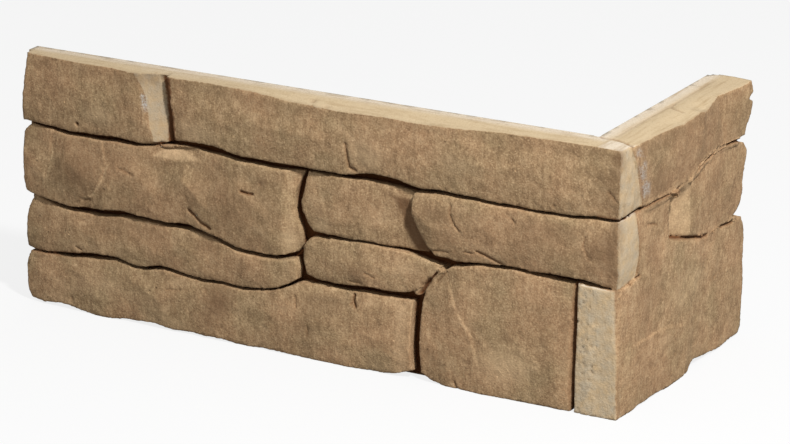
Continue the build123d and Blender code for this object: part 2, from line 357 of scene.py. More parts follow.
SCARS = (
    Scar(LONG, ((-318, 69.5), (-312, 71.5), (-307, 77), (-303.5, 84), (-301.5, 93), (-303, 101)), 0.5, 9.0),
    Scar(LONG, ((-350, 71), (-345, 77), (-341.5, 88), (-340.5, 101)), 0.5, 10.0),
    Scar(LONG, ((-64, 28), (-65, 32.5), (-70.1, 39.3), (-75.4, 48), (-77.6, 54)), 0.4, 12.0),
    Scar(SHORT, ((50, 33), (42, 35.6), (24, 37), (6, 37.4)), 0.5, 12.0),
)

NARROW_JOINTS = (
    Crack(LONG, ((-87.4, 65.2), (-90, 61.6), (-93.2, 57.6)), 0.6, 2.0),
    Crack(LONG, ((-92, 59.4), (-94.6, 55.6), (-97.4, 50.6)), 1.2, 3.2),
    Crack(LONG, ((-271, 109.6), (-267, 110.4), (-263, 111.4)), 0.7, 2.0),
    Crack(LONG, ((-356, 32.4), (-343, 32.9), (-331, 34.4), (-320.5, 35.7)), 0.9, 3.0),
    Crack(LONG, ((-4, 73.4), (-4.8, 63.5), (-5.1, 46.5), (-5.4, 29.5), (-5.8, 15.2), (-6, -1)), 1.3, 4.4),
    Crack(SHORT, ((-21, 112.8), (-8, 112), (6, 111.8)), 0.7, 2.0),
    Crack(SHORT, ((6, 111.8), (18, 112.2), (32, 111.8), (44, 112), (50, 112.4)), 0.8, 1.5),
    Crack(SHORT, ((68, 115.6), (74, 117.2), (80, 118.4)), 0.6, 1.0),
    Crack(SHORT, ((80, 118.4), (86, 118.9), (92, 119.2)), 0.6, 1.8),
    Crack(SHORT, ((110, 119.8), (118, 119.4), (127, 117.6)), 0.8, 2.6),
    Crack(SHORT, ((41.6, 85.8), (50, 82.9), (60, 80.2), (68, 78), (74, 76.4)), 1.0, 3.4),
    Crack(SHORT, ((72, 76.8), (80, 74.8), (88, 73.6)), 0.8, 2.2),
    Crack(SHORT, ((105, 73.2), (112, 72.6), (121, 71.6)), 0.8, 2.4),
    Crack(SHORT, ((-2.6, 148), (0.4, 135), (3.4, 125), (5.8, 113)), 0.5, 0.9),
    Crack(SHORT, ((0.4, 111), (1.6, 102), (3.6, 94), (3.4, 86), (1.4, 78), (2.6, 75.4)), 0.5, 0.7),
    Crack(SHORT, ((0.6, 75.2), (4, 75.4)), 0.7, 1.8),
)

PITS = (
    Pit(LONG, -321, 114, 0.9, 2.4),
    Pit(LONG, -198.5, 97.5, 1.0, 0.7),
    Pit(LONG, -301, 78.4, 0.9, 0.6),
    Pit(LONG, -286, 97.5, 1.1, 0.6),
    Pit(LONG, -328, 8, 1.2, 0.8),
    Pit(LONG, -235, 29.5, 1.2, 0.7),
    Pit(LONG, -17, 114.5, 0.9, 0.8),
    Pit(SHORT, 99, 46, 1.3, 0.8),
    Pit(SHORT, 48, 17, 1.3, 0.7),
    Pit(SHORT, 63.5, 2, 1.4, 1.2),
    Pit(TOP, -167, -13, 1.6, 0.9),
    Pit(TOP, -157, -15.5, 1.3, 0.7),
    Pit(TOP, -166, -17, 1.1, 0.6),
)


def scattered_pits(seed: int = 5, count: int = 70) -> tuple[Pit, ...]:
    """Air holes of the big corner stone's rough end, which lie thickest beside its joint.

    Args:
        seed: Seed of the places.
        count: Number of holes.

    Returns:
        The holes.
    """
    rng = np.random.default_rng(seed)
    along = -2.6 + 13 * rng.random(count) ** 1.3
    return tuple(
        Pit(LONG, float(x), float(z), float(radius), float(depth))
        for x, z, radius, depth in zip(
            along, rng.uniform(1, 72, count), rng.uniform(0.45, 0.75, count), rng.uniform(0.25, 0.7, count)
        )
    )


LEDGES = (
    Ledge(LONG, ((-272, 103, 0.1), (-266, 102.8, 3.6), (-259, 102, 8.6), (-248, 103, 5.4), (-237, 104.2, 0.1))),
)

# How squarely a point faces a side that marks or patches are on
FACING_MARKS = 0.25
FACING_PATCHES = 0.05
# Upward part of a normal: where a surface starts to count as level and is level in full, and the most
# that the dark groove's walls have
LEVEL = (0.5, 0.75)
STEEP = 0.8
# Each leg's joints: where they stop at the corner, and how far out of the wall they are fully dark and not dark
JOINT_RANGE = {LONG: (21.0, 11.4, 13.8), SHORT: (1.0, 13.5, 18.5)}
# Depth below the faces at which a joint starts, and at which it is reached in full
JOINT_DEPTH = (1.5, 3.3)
# Beyond these places along the legs the joints open to the air, and look that dark only
FREE_ENDS = (-354.5, 131.5)
END_DARKNESS = 0.25
# How near to the line of a narrow joint its cut reaches
NARROW_REACH = 4.5
# How far out of the wall a point starts to move with its joint and moves in full, and where that ends along
MOVING_OUT = (7.0, 9.5)
MOVING_END = 22.0

# Where the dark groove beside the top left stone starts: height, and place along the leg
GROOVE_EDGE = ((110, -261.2), (126, -261.4), (139, -262.8), (150, -264.2))
# Where the groove ends along the leg and at its foot, how far out it reaches, and how dark it is
GROOVE_END = -254.8
GROOVE_FOOT = 110.8
GROOVE_RIM = 15.9
GROOVE_DARKNESS = 0.9
# Where the groove's shape changes: from none to full, upward and along the leg on either hand
GROOVE_ZONE = ((110.4, 112.2), (-284, -278), (-236, -246))
# What share of the groove's depth stays: height, and share
GROOVE_KEPT = ((112, 0.87), (150, 0.48))
# How far the next stone's end leans over the groove, by height, and where along the leg
GROOVE_LEAN = ((112, 0.8), (128, 1.0), (150, 3.2))
LEAN_ALONG = ((-261, 0.0), (-256.2, 1.0), (-242, 0.0))
# How much wider the upright joint left of the second course's short stone is, by height, and where
WIDER_BY = ((74, 0.0), (79, 0.8), (86, 1.6), (94, 0.9), (105, 0.0))
WIDER_ALONG = ((-187, 0.0), (-175, 1.0), (-171.2, 1.0), (-170.4, 0.0))
# Stain that gathers in a pit of 1 mm, and how much calmer the relief is in a crack
PIT_DARKNESS = 0.4
CALM_IN_CRACKS = 0.7

# Joints that are closed but for a crease
WEBS = (
    Web(LONG, ((-87, 65.6), (-91, 60.4), (-94.8, 55.8), (-98.6, 52.4)), 0.5, 4.0),
    Web(SHORT, ((12, 111.6), (27, 111.2), (41, 111.6)), 0.3),
    Web(SHORT, ((46, 110.6), (58, 111.8)), 0.5, 9.0, 8.0),
    Web(SHORT, ((63, 113.8), (72, 116), (84, 118.6), (108, 119.6), (124, 118)), 0.4),
    Web(SHORT, ((72, 76.6), (84, 73.8), (96, 72.8), (112, 72.6), (124, 71.6)), 0.3),
)

# The lips of these joints lie deeper than the faces, so on the drawing they stand too high or too far right
NUDGES = (
    Nudge(((-357, 108.2), (-332, 109.5), (-311.5, 107.9)), 0, -1.4),
    Nudge(((-301.3, 108.2), (-291.1, 108), (-279, 108.4)), 0, -0.6),
    Nudge(((-270.9, 108.1), (-254.2, 111.3), (-237.7, 110.9), (-205.1, 109), (-179.3, 108.3)), 0, -1.2),
    Nudge(((-160.2, 108.5), (-135, 110.7), (-110.1, 109.6), (-79.4, 109.9), (-49.2, 110.3), (-19.4, 110.1),
          (20.3, 113.3)), 0, -0.6),
    Nudge(((-354.4, 65.3), (-337.1, 63.3), (-312.9, 63.6), (-299.2, 64.6)), 0, -1),
    Nudge(((-285.5, 65), (-258.6, 64.7), (-232, 62), (-212.4, 57.6), (-192.8, 56.2), (-179.8, 57.3)), 0, -0.3),
    Nudge(((-351.5, 31.7), (-320.8, 33.3), (-300.1, 33.8), (-272.8, 34.3), (-239.2, 32.3), (-212.7, 34.5),
          (-180, 42.6)), 0, -0.8),
    Nudge(((-165.7, 50.9), (-147.8, 49.3), (-122.5, 49.7), (-106.9, 49.5)), 0, -1.6),
    Nudge(((-159.2, 73), (-135.1, 73.5), (-116.3, 73.8)), 0, -1.1),
    Nudge(((-110, 73.7), (-100.7, 72.4), (-91.5, 71.1)), 0, -1.8),
    Nudge(((-73, 71.4), (-48.8, 73.9), (-18.8, 75.1), (10.7, 74.6), (20.6, 74.1)), 0, -0.5),
    Nudge(((-171, 106.2), (-173, 101.3), (-173.7, 94.8)), -1.4, 0),
    Nudge(((-172.5, 84.1), (-171.3, 77.3), (-168.1, 73.8)), -1.2, 0),
    Nudge(((-170.8, 64.6), (-172.7, 58.5), (-171.5, 52.8)), -1.5, 0),
    Nudge(((-99.4, 44.5), (-100, 29.4), (-99.9, 17.8), (-99.9, 7.3)), -1.1, 0),
    Nudge(((-4.6, 72), (-5, 63.5), (-5.3, 46.5), (-5.5, 29.5), (-5.9, 15.2), (-5.9, 2)), 1.2, 0),
)

# Depth of a free end that gets its full gain back, over how much more the gain runs out on the long and
# the short leg, and where the foot's gain grows from none to full
END_DEPTH = 4.0
END_EASE = (10.0, 12.0)
FOOT_HEIGHT = (12.0, 3.0)
FOOT_OUT = (8.0, 14.0)
# Height over which the big corner stone's arris runs out, and how its radius wavers: share and two waves
ARRIS_TOP = (74.5, 72.5)
ARRIS_WAVER = (0.25, 7.3, 17.0)
# How far out of the walls the big corner stone's two faces lie there, on the short and the long side
ARRIS_PLANES = (23.4, 19.8)

# How far the front arris of the top lies below the top: place along the leg, and fall in millimetres
TOP_FALL = {
    LONG: (
        (-356, 0.3), (-300, 0.4), (-285, 1.1), (-262, 0.3), (-240, 0.3), (-205, 0.7), (-190, 2.0), (-180, 3.0),
        (-165, 3.2), (-152, 4.0), (-138, 3.5), (-120, 2.9), (-100, 3.2), (-85, 2.3), (-70, 1.7), (-50, 0.8),
        (-10, 0.3), (30, 0.3),
    ),
    SHORT: (
        (-22, 0.2), (0, 1.0), (20, 1.0), (40, 1.5), (50, 2.5), (60, 2.0), (70, 1.0), (80, 2.8), (90, 1.2),
        (100, 0.3), (140, 0.6),
    ),
}
# How far behind and before the face, and how far below the top, the fall grows from none to full; and
# where along the leg it runs out past the corner
FALL_BEHIND, FALL_BEFORE, FALL_BELOW = 11.0, 1.0, 14.0
FALL_END = (24.0, 16.0)

BARE_PATCHES = (
    # The flank of the top left stone, down to its joint
    Patch(LONG, ((-268.4, 111.6), (-270.2, 118), (-272.2, 127), (-273.8, 136), (-275.6, 141), (-279, 147),
          (-284, 152), (-264, 152), (-262.6, 139), (-261.2, 126), (-261, 111.6)), 1.0, 0.6, 8.2),
    # The end of the big corner stone, on the long side
    Patch(LONG, ((-5.6, -4), (-4.2, 30), (-3.2, 74), (20, 73.2), (20.6, 60), (21.4, 30), (22, -4)), 1.0, 2.6),
    Patch(LONG, ((-5.6, -4), (-4.2, 30), (-3.2, 73.6), (14, 73.2), (14, -4)), 1.0, 0.7),
    # The ends of the two woven stones, on the short side
    Patch(SHORT, ((-30, 113.5), (-19, 112.6), (3.4, 112), (5, 115), (3.6, 120), (1, 128), (-1.4, 135), (-4.5, 141),
          (-8.5, 152), (-30, 152)), 1.0, 0.5, 14.0),
    Patch(SHORT, ((-30, 74.6), (0, 75.2), (1.2, 80), (3.4, 88), (3.2, 95), (1.2, 101), (0.6, 111.5), (-30, 113)), 1.0,
          0.5, 14.0),
)

# Outline of a painted shadow between the two short stones of the second course: the shade that the right one casts on
# the left one
PAINTED_SHADOW_RIM = (
    (-113.4, 101.4), (-110, 94), (-107.4, 84.5), (-101.6, 76), (-92, 75), (-94, 78), (-100, 86), (-102.4, 95),
    (-105.6, 103),
)

# Round fields where the stain is lighter (above 0) or deeper (below 0): place along and up, reach
# along and up, and strength
SPOTS = {
    LONG: (
        (-309, 145, 12, 6, -0.2), (-291, 142, 12, 7, -0.22), (-305, 120, 16, 8, 0.14), (-132, 124, 22, 12, 0.14),
        (-244, 122, 20, 9, 0.14), (-182, 68, 14, 10, 0.3), (-238, 87, 16, 12, -0.2), (-197.5, 98, 6, 5, -0.4),
        (-61, 85, 22, 6, 0.16), (-317, 41, 30, 6, 0.26), (-225, 26, 14, 14, -0.3), (-159, 34, 20, 8, -0.3),
        (-263, 6, 26, 5, 0.2), (-46, 20, 26, 14, 0.16), (-22, 54, 12, 14, -0.3), (-159, 79, 8, 6, 0.3),
        (-325, 88, 26, 16, -0.14), (-225, 26, 16, 12, -0.2), (-150, 38, 26, 7, -0.14), (-20, 30, 8, 24, -0.22),
        (-48, 14, 26, 12, 0.14), (-310, 20, 30, 10, 0.18), (-334, 135, 16, 12, -0.19), (-286, 134, 10, 12, -0.22),
        (-305, 122, 18, 9, 0.16), (-240, 120, 18, 8, 0.18), (-185, 141, 40, 8, -0.19), (-131, 126, 14, 13, 0.22),
        (-76, 128, 20, 10, 0.16), (12, 130, 9, 16, -0.29), (-347, 85, 8, 16, 0.16), (-322, 82, 18, 16, -0.3),
        (-216, 82, 22, 18, -0.16), (-348, 54, 10, 8, -0.32), (-289, 57, 40, 8, -0.26), (-236, 55, 18, 7, -0.22),
        (-195, 47, 22, 6, 0.1), (-162, 86, 9, 14, 0.14), (-153, 100, 10, 5, -0.19), (-126, 91, 14, 8, 0.1),
        (-88, 99, 14, 8, -0.32), (-60, 84, 18, 6, 0.2), (-20, 100, 26, 9, -0.26), (13, 94, 8, 15, -0.32),
        (-107, 64, 16, 7, 0.2), (-137, 56, 11, 6, -0.48), (-152, 67, 14, 5, 0.08), (-336, 10, 16, 10, 0.12),
        (-275, 14, 26, 8, 0.14), (-229, 18, 12, 14, -0.42), (-167, 20, 12, 14, -0.29), (-122, 6, 16, 6, 0.14),
        (-40, 22, 26, 14, 0.16), (-10, 40, 5, 30, -0.22), (-87, 12, 10, 16, -0.19),
    ),
    SHORT: (
        (16, 88, 16, 14, -0.3), (12, 56, 10, 20, -0.26), (50, 50, 18, 14, 0.16), (24, 66, 14, 22, -0.26),
        (70, 50, 16, 14, 0.16), (102, 44, 8, 18, -0.16), (35, 29, 14, 5, 0.26), (24, 20, 14, 5, -0.22),
        (30, 9, 26, 5, -0.22), (24, 122, 14, 14, -0.26), (77, 121, 12, 8, -0.19), (95, 104, 18, 10, -0.26),
        (30, 100, 10, 10, -0.19),
    ),
    TOP: (
        (22, -17, 7, 6, -0.25),
    ),
}

TONES_AND_PAINTED_LIGHT = (
    *(spot(side, *row) for side, rows in SPOTS.items() for row in rows),
    # The worn rims of the flakes on the second course, and on the stone under the corner
    stroke(LONG, ((-339.3, 97.7), (-339.3, 89.3), (-341.3, 80.6), (-345.7, 74)), 1.2, 0.85),
    stroke(LONG, ((-299.7, 93), (-301.9, 85.6), (-304.8, 80.4), (-309.8, 73.6), (-318, 69.6)), 1.3, 0.9),
    stroke(LONG, ((-77.8, 56), (-75.4, 48), (-70.1, 39.3), (-64.9, 33)), 1.0, 0.22),
    # The bare ends, the edges under the top and at the corner, whole courses, the flanks, and painted light and shade
    # on the ledge, a rounded end and between two short stones
    Patch(LONG, ((-282, 151), (-268, 110), (-258, 110), (-258, 151)), -0.26, 1.0, 8.0),
    Patch(SHORT, ((-30, 76), (6, 76), (6, 150), (-30, 150)), -0.12, 1.0, 14.0),
    Patch(LONG, ((-357, 144), (-357, 151), (22, 151), (22, 144)), -0.24, 3.0, 10.0),
    Patch(SHORT, ((0, 151), (0, 141), (60, 141), (90, 143), (90, 151)), -0.22, 3.0, 14.0),
    Patch(LONG, ((15, 78), (15, 148), (23, 148), (23, 78)), -0.3, 3.0),
    Patch(SHORT, ((1, 5), (1, 72), (14, 72), (14, 5)), -0.16, 4.0),
    Patch(SHORT, ((66, 80), (66, 112), (128, 116), (128, 74)), -0.12, 4.0),
    Patch(LONG, ((-360, 69), (-360, 108), (-175, 106), (-175, 60), (-215, 58), (-240, 66), (-280, 64)), -0.2, 3.0,
          11.0),
    Patch(LONG, ((-98, 76), (-104, 103), (22, 106), (22, 76)), -0.2, 3.0),
    Patch(LONG, ((-360, 34), (-360, 66), (-280, 63), (-240, 58), (-215, 51), (-176, 54), (-176, 46), (-200, 36),
          (-260, 34)), -0.1, 3.0),
    Patch(SHORT, ((1, 150), (6, 114), (60, 117), (84, 120), (126, 120), (126, 150)), -0.22, 3.0),
    # Painted highlight on the rounded right end of the second course's first stone, which turns to the light
    Patch(LONG, ((-183, 58), (-182, 106), (-176, 106), (-176, 58)), 0.32, 2.6),
    # Painted shadow that the right short stone of the second course casts on the left one
    Patch(LONG, ((-121, 105.6), *PAINTED_SHADOW_RIM), -0.66, 0.9, 10.0),
    # Painted highlight on the bevel below the top left stone's groove, which faces up to the light
    Patch(LONG, ((-271, 102.6), (-265.4, 106.8), (-260, 110.8), (-257, 110.4), (-252, 109), (-245.4, 107.5),
          (-237, 103.9), (-248, 102.8), (-258.7, 101.8)), 0.55, 0.7, 9.0),
    Patch(SHORT, ((44, 111.6), (43.2, 97), (42.4, 87), (49, 84), (50, 111.6)), 0.16, 0.8, 10.0),
    Patch(SHORT, ((44.2, 111), (42.6, 87), (63, 81), (62, 111)), 0.26, 4.0, 10.0),
    Patch(LONG, ((-112, 2), (-112, 44), (-105.5, 44), (-105.5, 2)), 0.26, 3.0),
)

# Painted shadow between the second course's short stones, which also takes a share of the joint colour to look browner
PAINTED_SHADOW_IN_JOINT_COLOUR = (Patch(LONG, ((-117, 103.4), *PAINTED_SHADOW_RIM), 0.34, 1.2, 10.0),)

MORTAR_SMEARS = (
    Patch(SHORT, ((-3.6, 147), (1, 148), (3, 142), (7, 137), (7, 130), (12, 124), (12.5, 118), (6.6, 117.4), (4, 122),
          (2, 129), (-0.6, 136), (-3.4, 142)), 0.6, 2.0, 14.0),
    Patch(LONG, ((-276.4, 137), (-273.6, 137), (-272, 128), (-274.8, 128)), 0.8, 0.8),
)


def line_distance(points: np.ndarray, line: Line) -> tuple[np.ndarray, np.ndarray]:
    """Distance from points to a line of several runs, and the side that they lie on.

    Args:
        points: Places in a plane, one a row.
        line: The line's points.

    Returns:
        The distance, and +1 to the left of the line's direction or -1 to its right.
    """
    nearest = np.full(len(points), np.inf)
    hand = np.ones(len(points))
    for start, end in zip(np.array(line[:-1]), np.array(line[1:])):
        run = end - start
        share = np.clip((points - start) @ run / (run @ run), 0.0, 1.0)
        offset = points - start - share[:, None] * run
        distance = np.hypot(offset[:, 0], offset[:, 1])
        closer = distance < nearest
        nearest[closer] = distance[closer]
        turn = run[0] * (points[:, 1] - start[1]) - run[1] * (points[:, 0] - start[0])
        hand[closer] = np.where(turn[closer] >= 0, 1.0, -1.0)
    return nearest, hand


def inside(points: np.ndarray, outline: Line) -> np.ndarray:
    """Whether each point lies inside a closed outline.

    Args:
        points: Places in a plane, one a row.
        outline: The outline's corners.

    Returns:
        True for each point inside.
    """
    result = np.zeros(len(points), bool)
    corners = np.array(outline)
    for start, end in zip(corners, np.roll(corners, -1, axis=0)):
        if start[1] == end[1]:
            continue
        crosses = (points[:, 1] > min(start[1], end[1])) & (points[:, 1] <= max(start[1], end[1]))
        at = start[0] + (points[:, 1] - start[1]) * (end[0] - start[0]) / (end[1] - start[1])
        result ^= crosses & (points[:, 0] < at)
    return result


@dataclass
class Relief:
    """Sizes of the broken surface, in millimetres: how high each form is and how wide.

    The hackles point outward by the ridge factor, the drag marks are drawn out upright, and the edges
    are worn by a blur of so many steps, in full where the chip noise reaches chip_full.
    """

    swell_height: float = 0.6
    swell_size: float = 24.0
    hackle_height: float = 0.45
    hackle_size: float = 10.0
    drag_height: float = 0.26
    drag_size: float = 2.4
    grain_height: float = 0.3
    grain_size: float = 1.5
    chip_size: float = 11.0
    seed: float = 4.0
    ridge: float = -1.6
    drag_stretch: tuple[float, float, float] = (1.0, 1.0, 0.28)
    wear: int = 9
    chip_full: float = 0.45

    def build_tree(self) -> bpy.types.NodeTree:
        """Build the node tree that breaks the split faces.

        Returns:
            The geometry node tree, with its sizes as named inputs.
        """
        tree = bpy.data.node_groups.new("split_face_relief", "GeometryNodeTree")
        tree.interface.new_socket("Geometry", in_out="OUTPUT", socket_type="NodeSocketGeometry")
        kinds = {"Geometry": "Geometry", **dict.fromkeys(self.inputs(), "Float"), "Stone": "Material"}
        for name, kind in kinds.items():
            tree.interface.new_socket(name, in_out="INPUT", socket_type=f"NodeSocket{kind}")
        given = add_node(tree, "NodeGroupInput").outputs
        place = add_node(tree, "GeometryNodeInputPosition").outputs[0]
        named = add_node(tree, "GeometryNodeInputNamedAttribute", {"data_type": "FLOAT"}, {"Name": "split"})
        weight = named.outputs["Attribute"]

        def form(name: str, shift: float, layers: float, rough: float, at: Socket = place) -> Socket:
            """Noise with forms of a named size, from -1 to 1 about; the shift tells two noises apart."""
            scale = maths(tree, "DIVIDE", 1.0, given[f"{name} size"])
            value = noise(tree, at, maths(tree, "ADD", given["Seed"], shift), scale, layers, rough)
            return maths(tree, "MULTIPLY_ADD", value, 2.0, -1.0)

        ridges = maths(tree, "ABSOLUTE", form("Hackle", 3.7, 3.0, 0.6))
        hackle = maths(tree, "MULTIPLY", maths(tree, "MULTIPLY", ridges, given["Hackle height"]), self.ridge)
        height = maths(tree, "MULTIPLY", form("Swell", 0.0, 1.5, 0.5), given["Swell height"])
        grain = maths(tree, "MULTIPLY", form("Grain", 9.1, 2.0, 0.6), given["Grain height"])
        upright = maths(tree, "MULTIPLY", place, self.drag_stretch, kind="VectorMath")
        drag = maths(tree, "MULTIPLY", form("Drag", 6.3, 2.0, 0.55, upright), given["Drag height"])
        for layer in (hackle, grain, drag):
            height = maths(tree, "ADD", height, layer)

        def scaled(vector: Socket, share: Socket) -> Socket:
            """A vector times a number."""
            inputs = {0: vector, "Scale": share}
            return add_node(tree, "ShaderNodeVectorMath", {"operation": "SCALE"}, inputs).outputs[0]

        normal = add_node(tree, "GeometryNodeInputNormal").outputs[0]
        offset = scaled(normal, maths(tree, "MULTIPLY", height, weight))
        worn = add_node(tree, "GeometryNodeBlurAttribute", {"data_type": "FLOAT_VECTOR"}, {"Iterations": self.wear})
        tree.links.new(place, next(socket for socket in worn.inputs if socket.enabled and socket.name == "Value"))
        blurred = next(socket for socket in worn.outputs if socket.enabled)
        chips = {"Value": form("Chip", 12.9, 3.0, 0.6), "From Min": 0.0, "From Max": self.chip_full}
        chipped = add_node(tree, "ShaderNodeMapRange", {"interpolation_type": "SMOOTHSTEP"}, chips).outputs[0]
        recess = maths(tree, "SUBTRACT", blurred, place, kind="VectorMath")
        chip = scaled(recess, maths(tree, "MULTIPLY", chipped, weight))
        offset = maths(tree, "ADD", offset, chip, kind="VectorMath")
        moved = add_node(tree, "GeometryNodeSetPosition", None, {"Geometry": given["Geometry"], "Offset": offset})
        solid = add_node(tree, "GeometryNodeRealizeInstances", None, {"Geometry": moved.outputs[0]})
        inputs = {"Geometry": solid.outputs[0], "Material": given["Stone"]}
        dressed = add_node(tree, "GeometryNodeSetMaterial", None, inputs)
        add_node(tree, "NodeGroupOutput", None, {"Geometry": dressed.outputs[0]})
        return tree

    def inputs(self) -> dict[str, float]:
        """The tree's inputs by name, in metres apart from the seed."""
        sizes = ("swell_height", "swell_size", "hackle_height", "hackle_size", "drag_height", "drag_size",
                 "grain_height", "grain_size", "chip_size")
        named = {size.replace("_", " ").capitalize(): getattr(self, size) * MM for size in sizes}
        return named | {"Seed": self.seed}


# Stain laid over the casting: its pattern, where the pattern starts and is full, and the colour
STAIN_LAYERS = (
    ("mottle", 0.5, 1.7, "deep"),
    ("mottle", 0.5, -0.95, "light"),
    ("streak", 0.5, 1.15, "deep"),
    ("streak", 0.5, -0.35, "light"),
    ("speckle", 0.53, 0.8, "light"),
    ("speckle", 0.49, 0.16, "deep"),
    # The tone fields: stain that is lighter or deeper, and painted highlights and shadow in places
    ("tone", 0.0, 1.0, "light"),
    ("tone", 0.0, -1.0, "deep"),
)
BARE_LAYERS = (("tone", 0.0, -1.0, "deep"), ("streak", 0.52, 1.1, "olive"), ("speckle", 0.47, 0.05, "olive"))


@dataclass(frozen=True)
class StainedCastStone:
    """Cast concrete with an iron-oxide stain on its split faces.

    Dry-cast concrete with fine sand gives a matt, grainy surface with no sheen. The stain soaks in
    unevenly, so the brown drifts between warm and olive, and the sand grains show as fine speckle.
    """

    warm: str = "9D7D5C"
    olive: str = "8D7656"
    deep: str = "634A33"
    light: str = "C4A782"
    bare: str = "BA9F79"
    bare_grey: str = "ADA08A"
    bare_top: str = "B9AC99"
    aged_top: str = "AB987A"
    joint: str = "5A3416"
    mortar: str = "A9A9A6"
    roughness: float = 0.92
    drift_size: float = 26.0
    mottle_size: float = 6.0
    speckle_size: float = 1.05
    grain_size: float = 1.0
    grain_height: float = 0.3
    streak_size: float = 1.5
    line_size: float = 3.0
    drawn_out: float = 0.24
    line_drawn_out: float = 0.12
    fully_stained: float = 0.995
    specular: float = 0.25

    def build(self) -> bpy.types.Material:
        """Build the node material.

        Returns:
            The material, which reads the mesh's stain and joint attributes.
        """
        material = bpy.data.materials.new("iron_stained_cast_concrete")
        material.use_nodes = True
        tree = material.node_tree
        tree.nodes.clear()
        place = add_node(tree, "ShaderNodeTexCoord").outputs["Object"]

        def form(
            size: float, layers: float, rough: float, seed: float, stretch: tuple[float, float, float] | None = None
        ) -> Socket:
            """Noise from 0 to 1 with forms of a given width in millimetres."""
            at = maths(tree, "MULTIPLY", place, stretch, kind="VectorMath") if stretch else place
            return noise(tree, at, seed, 1 / (size * MM), layers, rough)

        def spread(value: Socket, low: float, high: float) -> Socket:
            """Stretch the values between low and high to 0 and 1."""
            inputs = {"Value": value, "From Min": low, "From Max": high}
            return add_node(tree, "ShaderNodeMapRange", None, inputs).outputs[0]

        def blend(share: Socket, first: object, second: object) -> Socket:
            """Mix two colours by a share."""
            return add_node(tree, "ShaderNodeMix", {"data_type": "RGBA"}, {0: share, 6: first, 7: second}).outputs[2]

        def stored(name: str) -> Socket:
            """A number that the mesh stores at each point."""
            return add_node(tree, "ShaderNodeAttribute", {"attribute_name": name}).outputs["Fac"]

        patterns = {
            "mottle": spread(form(self.mottle_size, 4.0, 0.62, 2.0), 0.3, 0.7),
            "speckle": form(self.speckle_size, 3.0, 0.7, 3.0),
            "streak": form(self.streak_size, 3.0, 0.6, 5.0, (1.0, 1.0, self.drawn_out)),
            "tone": stored("tone"),
        }

        def layered(ground: Socket, layers: tuple[tuple[str, float, float, str], ...]) -> Socket:
            """Lay colours over a ground by their patterns."""
            for name, start, full, colour in layers:
                ground = blend(spread(patterns[name], start, full), ground, linear(getattr(self, colour)))
            return ground

        drift = spread(form(self.drift_size, 2.0, 0.5, 1.0), 0.35, 0.65)
        stain = layered(blend(drift, linear(self.warm), linear(self.olive)), STAIN_LAYERS)

        # The top is paler than the ends, and its lines run along each leg
        up = add_node(tree, "ShaderNodeNewGeometry").outputs["Normal"]
        level = add_node(tree, "ShaderNodeSeparateXYZ", None, {0: up}).outputs[2]
        bare = blend(patterns["mottle"], linear(self.bare), linear(self.bare_grey))
        along = add_node(tree, "ShaderNodeSeparateXYZ", None, {0: place}).outputs[0]
        lines = {
            0: maths(tree, "GREATER_THAN", along, 0.0),
            2: form(self.line_size, 3.0, 0.6, 6.0, (self.line_drawn_out, 1.0, 1.0)),
            3: form(self.line_size, 3.0, 0.6, 7.0, (1.0, self.line_drawn_out, 1.0)),
        }
        lined = add_node(tree, "ShaderNodeMix", None, lines).outputs[0]
        on_top = blend(stored("aged"), linear(self.bare_top), linear(self.aged_top))
        on_top = blend(spread(lined, 0.5, 0.85), on_top, linear(self.olive))
        bare = layered(blend(spread(level, 0.5, 0.9), bare, on_top), BARE_LAYERS)

        # The stain's edge is uneven, but a point that is stained in full stays so
        soaked = stored("stain")
        uneven = maths(tree, "MULTIPLY_ADD", patterns["mottle"], 0.5, -0.25)
        edge = spread(maths(tree, "ADD", soaked, uneven), 0.3, 0.7)
        stained = maths(tree, "MAXIMUM", edge, maths(tree, "GREATER_THAN", soaked, self.fully_stained))
        colour = blend(stained, bare, stain)
        ragged = maths(tree, "MULTIPLY", stored("mortar"), spread(patterns["speckle"], 0.35, 0.6))
        ragged = maths(tree, "MULTIPLY", ragged, spread(patterns["mottle"], 0.25, 0.6))
        colour = blend(ragged, colour, linear(self.mortar))
        # Dark joints and cracks take the joint colour, and the painted shadow between the second course's short stones
        # takes a share of it
        colour = blend(maths(tree, "MAXIMUM", stored("joint"), stored("crack")), colour, linear(self.joint))

        sand = {"Strength": 1.0, "Distance": self.grain_height * MM, "Height": form(self.grain_size, 2.0, 0.6, 4.0)}
        bump = add_node(tree, "ShaderNodeBump", None, sand).outputs[0]
        finish = {"Base Color": colour, "Roughness": self.roughness, "Specular IOR Level": self.specular}
        shader = add_node(tree, "ShaderNodeBsdfPrincipled", None, finish | {"Normal": bump})
        add_node(tree, "ShaderNodeOutputMaterial", None, {"Surface": shader.outputs[0]})
        return material


